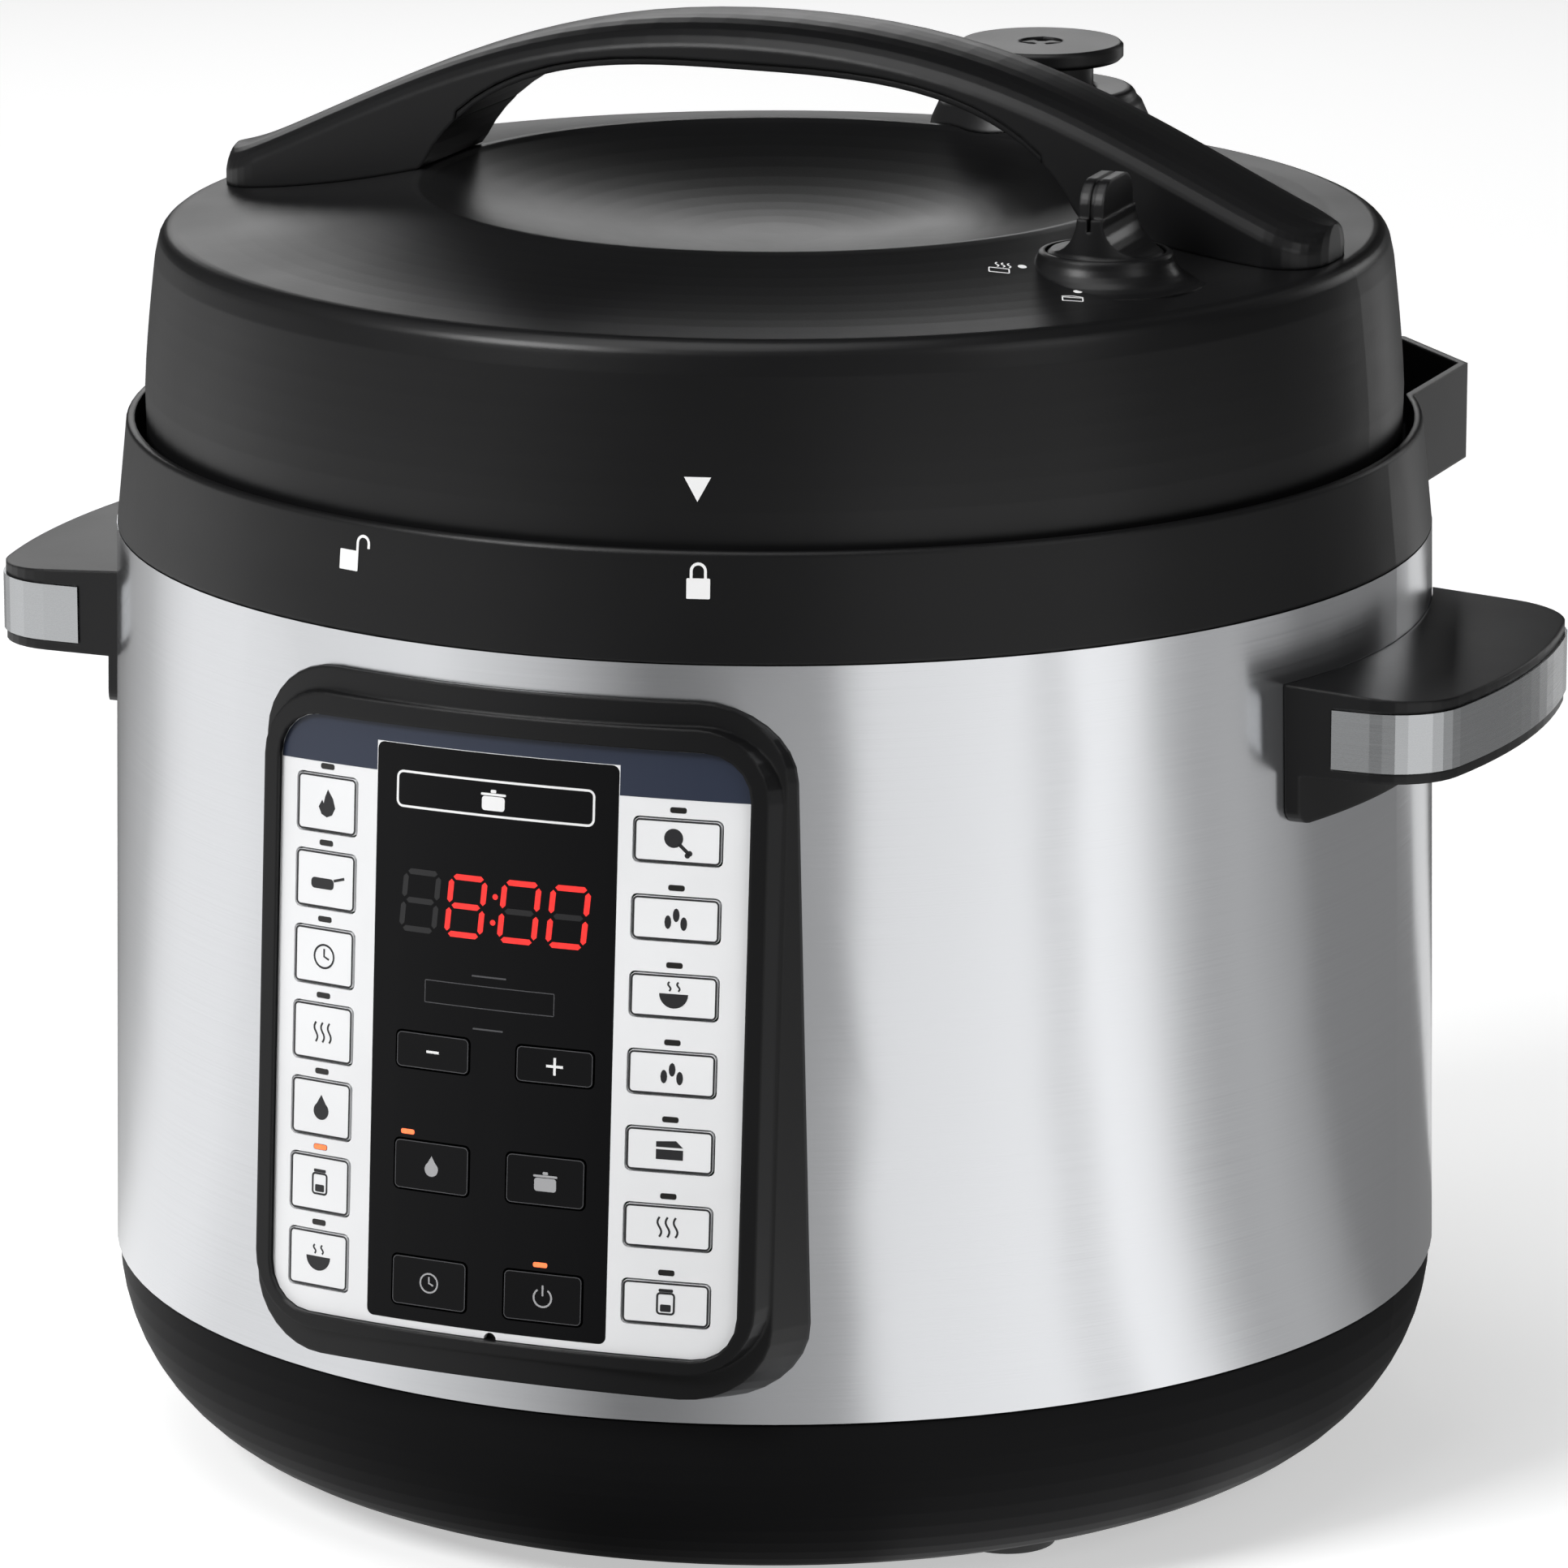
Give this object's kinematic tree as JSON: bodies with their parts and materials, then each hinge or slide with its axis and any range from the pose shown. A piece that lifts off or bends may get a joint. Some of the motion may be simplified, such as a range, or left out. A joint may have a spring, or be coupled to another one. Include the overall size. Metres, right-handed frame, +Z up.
{
  "type": "electric pressure cooker",
  "caption": "Tall electric pressure cooker with a steel body, black twist-off lid, arched lid handle, pressure release knob, steam valve, side handles and a tilted key panel.",
  "frame": {"origin": "on the body's axis, on the surface the feet stand on", "axes": "+Z up, front (control panel) towards -Y, side handles and lid handle along X"},
  "size_m": [0.3572, 0.3099, 0.3247],
  "materials": {
    "steel_band": "brushed round the body, satin",
    "black_plastic": "fine moulded grain",
    "foot_rubber": "matte",
    "pot_steel": "satin",
    "cast_aluminium": "cast, turned face",
    "spring_steel": "drawn",
    "pale_insulator": "smooth",
    "circuit_board": "solder mask",
    "silver_panel": "silver paint",
    "gloss_window": "polished",
    "display_block": "smooth",
    "lens_plastic": "translucent look",
    "silver_key": "silver paint",
    "black_key": "polished",
    "satin_trim": "satin",
    "screw_steel": "plain",
    "silicone": "translucent matte",
    "white_nylon": "plain"
  },
  "bodies": {
    "base": {"outer_shell": "steel_band", "base_housing": "black_plastic", "feet": "foot_rubber", "upper_collar": "black_plastic", "outer_pot": "pot_steel", "heating_plate": "cast_aluminium", "sensor_spring": "spring_steel", "elastic_plate": "spring_steel", "pressure_switch": "pale_insulator", "thermal_fuse": "pale_insulator", "power_board": "circuit_board", "control_board": "circuit_board", "panel_bezel": "black_plastic", "panel_fascia": "silver_panel", "display_window": "gloss_window", "led_display": "display_block", "indicator_lenses": "lens_plastic", "power_inlet": "black_plastic", "side_handle_left": "black_plastic", "side_handle_right": "black_plastic", "handle_trims": "satin_trim", "case_screws": "screw_steel"},
    "inner_pot": {"inner_pot": "pot_steel"},
    "seal": {"sealing_ring": "silicone"},
    "lid": {"lid_cover": "black_plastic", "lid_plate": "pot_steel", "ring_rack": "spring_steel", "lid_handle": "black_plastic", "handle_cover": "black_plastic", "lid_screws": "screw_steel", "valve_turret": "black_plastic", "steam_pipe": "pot_steel", "filter_cap": "pot_steel"},
    "knob": {"release_knob": "black_plastic", "release_crank": "white_nylon"},
    "slider": {"release_slider": "white_nylon"},
    "valve": {"steam_valve": "black_plastic"},
    "float": {"float_valve": "spring_steel", "float_seal": "silicone"},
    "sensor": {"temperature_sensor": "cast_aluminium"},
    "key_left_1": {"key_left_1": "silver_key"},
    "key_left_2": {"key_left_2": "silver_key"},
    "key_left_3": {"key_left_3": "silver_key"},
    "key_left_4": {"key_left_4": "silver_key"},
    "key_left_5": {"key_left_5": "silver_key"},
    "key_left_6": {"key_left_6": "silver_key"},
    "key_left_7": {"key_left_7": "silver_key"},
    "key_right_1": {"key_right_1": "silver_key"},
    "key_right_2": {"key_right_2": "silver_key"},
    "key_right_3": {"key_right_3": "silver_key"},
    "key_right_4": {"key_right_4": "silver_key"},
    "key_right_5": {"key_right_5": "silver_key"},
    "key_right_6": {"key_right_6": "silver_key"},
    "key_right_7": {"key_right_7": "silver_key"},
    "key_minus": {"key_minus": "black_key"},
    "key_plus": {"key_plus": "black_key"},
    "key_mid_left": {"key_mid_left": "black_key"},
    "key_mid_right": {"key_mid_right": "black_key"},
    "key_low_left": {"key_low_left": "black_key"},
    "key_low_right": {"key_low_right": "black_key"}
  },
  "joints": [
    {"name": "pot_lift", "type": "slide", "parent": "base", "child": "inner_pot", "axis": [0, 0, 1], "range_m": [0, 0.24]},
    {"name": "lid_lift", "type": "slide", "parent": "inner_pot", "child": "seal", "axis": [0, 0, 1], "range_m": [0, 0.09]},
    {"name": "lid_turn", "type": "hinge", "parent": "seal", "child": "lid", "pos_m": [0, 0, 0.24], "axis": [0, 0, 1], "range_deg": [-32, 0]},
    {"name": "release_turn", "type": "hinge", "parent": "lid", "child": "knob", "pos_m": [0.09446, -0.04206, 0.29], "axis": [0, 0, -1], "range_deg": [0, 50]},
    {"name": "slider_turn", "type": "hinge", "parent": "lid", "child": "slider", "pos_m": [0, 0, 0.264], "axis": [0, 0, 1], "range_deg": [0, 4.05]},
    {"name": "valve_lift", "type": "slide", "parent": "lid", "child": "valve", "axis": [0, 0, 1], "range_m": [0, 0.00301]},
    {"name": "float_rise", "type": "slide", "parent": "lid", "child": "float", "axis": [0, 0, 1], "range_m": [0, 0.0042]},
    {"name": "sensor_press", "type": "slide", "parent": "base", "child": "sensor", "axis": [0, 0, 1], "range_m": [-0.003, 0], "stiffness_N_per_m": 500, "springref_m": 0.003, "deforming": ["sensor_spring"]},
    {"name": "key_left_1_press", "type": "slide", "parent": "base", "child": "key_left_1", "axis": [0.1872, 0.9797, -0.0719], "range_m": [0, 0.0005], "stiffness_N_per_m": 600},
    {"name": "key_left_2_press", "type": "slide", "parent": "base", "child": "key_left_2", "axis": [0.1872, 0.9797, -0.0719], "range_m": [0, 0.0005], "stiffness_N_per_m": 600},
    {"name": "key_left_3_press", "type": "slide", "parent": "base", "child": "key_left_3", "axis": [0.1872, 0.9797, -0.0719], "range_m": [0, 0.0005], "stiffness_N_per_m": 600},
    {"name": "key_left_4_press", "type": "slide", "parent": "base", "child": "key_left_4", "axis": [0.1872, 0.9797, -0.0719], "range_m": [0, 0.0005], "stiffness_N_per_m": 600},
    {"name": "key_left_5_press", "type": "slide", "parent": "base", "child": "key_left_5", "axis": [0.1872, 0.9797, -0.0719], "range_m": [0, 0.0005], "stiffness_N_per_m": 600},
    {"name": "key_left_6_press", "type": "slide", "parent": "base", "child": "key_left_6", "axis": [0.1872, 0.9797, -0.0719], "range_m": [0, 0.0005], "stiffness_N_per_m": 600},
    {"name": "key_left_7_press", "type": "slide", "parent": "base", "child": "key_left_7", "axis": [0.1872, 0.9797, -0.0719], "range_m": [0, 0.0005], "stiffness_N_per_m": 600},
    {"name": "key_right_1_press", "type": "slide", "parent": "base", "child": "key_right_1", "axis": [-0.1718, 0.9825, -0.0721], "range_m": [0, 0.0005], "stiffness_N_per_m": 600},
    {"name": "key_right_2_press", "type": "slide", "parent": "base", "child": "key_right_2", "axis": [-0.1718, 0.9825, -0.0721], "range_m": [0, 0.0005], "stiffness_N_per_m": 600},
    {"name": "key_right_3_press", "type": "slide", "parent": "base", "child": "key_right_3", "axis": [-0.1718, 0.9825, -0.0721], "range_m": [0, 0.0005], "stiffness_N_per_m": 600},
    {"name": "key_right_4_press", "type": "slide", "parent": "base", "child": "key_right_4", "axis": [-0.1718, 0.9825, -0.0721], "range_m": [0, 0.0005], "stiffness_N_per_m": 600},
    {"name": "key_right_5_press", "type": "slide", "parent": "base", "child": "key_right_5", "axis": [-0.1718, 0.9825, -0.0721], "range_m": [0, 0.0005], "stiffness_N_per_m": 600},
    {"name": "key_right_6_press", "type": "slide", "parent": "base", "child": "key_right_6", "axis": [-0.1718, 0.9825, -0.0721], "range_m": [0, 0.0005], "stiffness_N_per_m": 600},
    {"name": "key_right_7_press", "type": "slide", "parent": "base", "child": "key_right_7", "axis": [-0.1718, 0.9825, -0.0721], "range_m": [0, 0.0005], "stiffness_N_per_m": 600},
    {"name": "key_minus_press", "type": "slide", "parent": "base", "child": "key_minus", "axis": [0.0661, 0.9951, -0.0731], "range_m": [0, 0.0005], "stiffness_N_per_m": 600},
    {"name": "key_plus_press", "type": "slide", "parent": "base", "child": "key_plus", "axis": [-0.059, 0.9956, -0.0731], "range_m": [0, 0.0005], "stiffness_N_per_m": 600},
    {"name": "key_mid_left_press", "type": "slide", "parent": "base", "child": "key_mid_left", "axis": [0.0648, 0.9952, -0.0731], "range_m": [0, 0.0005], "stiffness_N_per_m": 600},
    {"name": "key_mid_right_press", "type": "slide", "parent": "base", "child": "key_mid_right", "axis": [-0.0524, 0.9959, -0.0731], "range_m": [0, 0.0005], "stiffness_N_per_m": 600},
    {"name": "key_low_left_press", "type": "slide", "parent": "base", "child": "key_low_left", "axis": [0.0648, 0.9952, -0.0731], "range_m": [0, 0.0005], "stiffness_N_per_m": 600},
    {"name": "key_low_right_press", "type": "slide", "parent": "base", "child": "key_low_right", "axis": [-0.0524, 0.9959, -0.0731], "range_m": [0, 0.0005], "stiffness_N_per_m": 600}
  ],
  "couplings": [
    {"joint": "slider_turn", "follows": "release_turn", "ratio": 0.080589},
    {"joint": "valve_lift", "follows": "release_turn", "m_per_rad": 0.0034377}
  ]
}
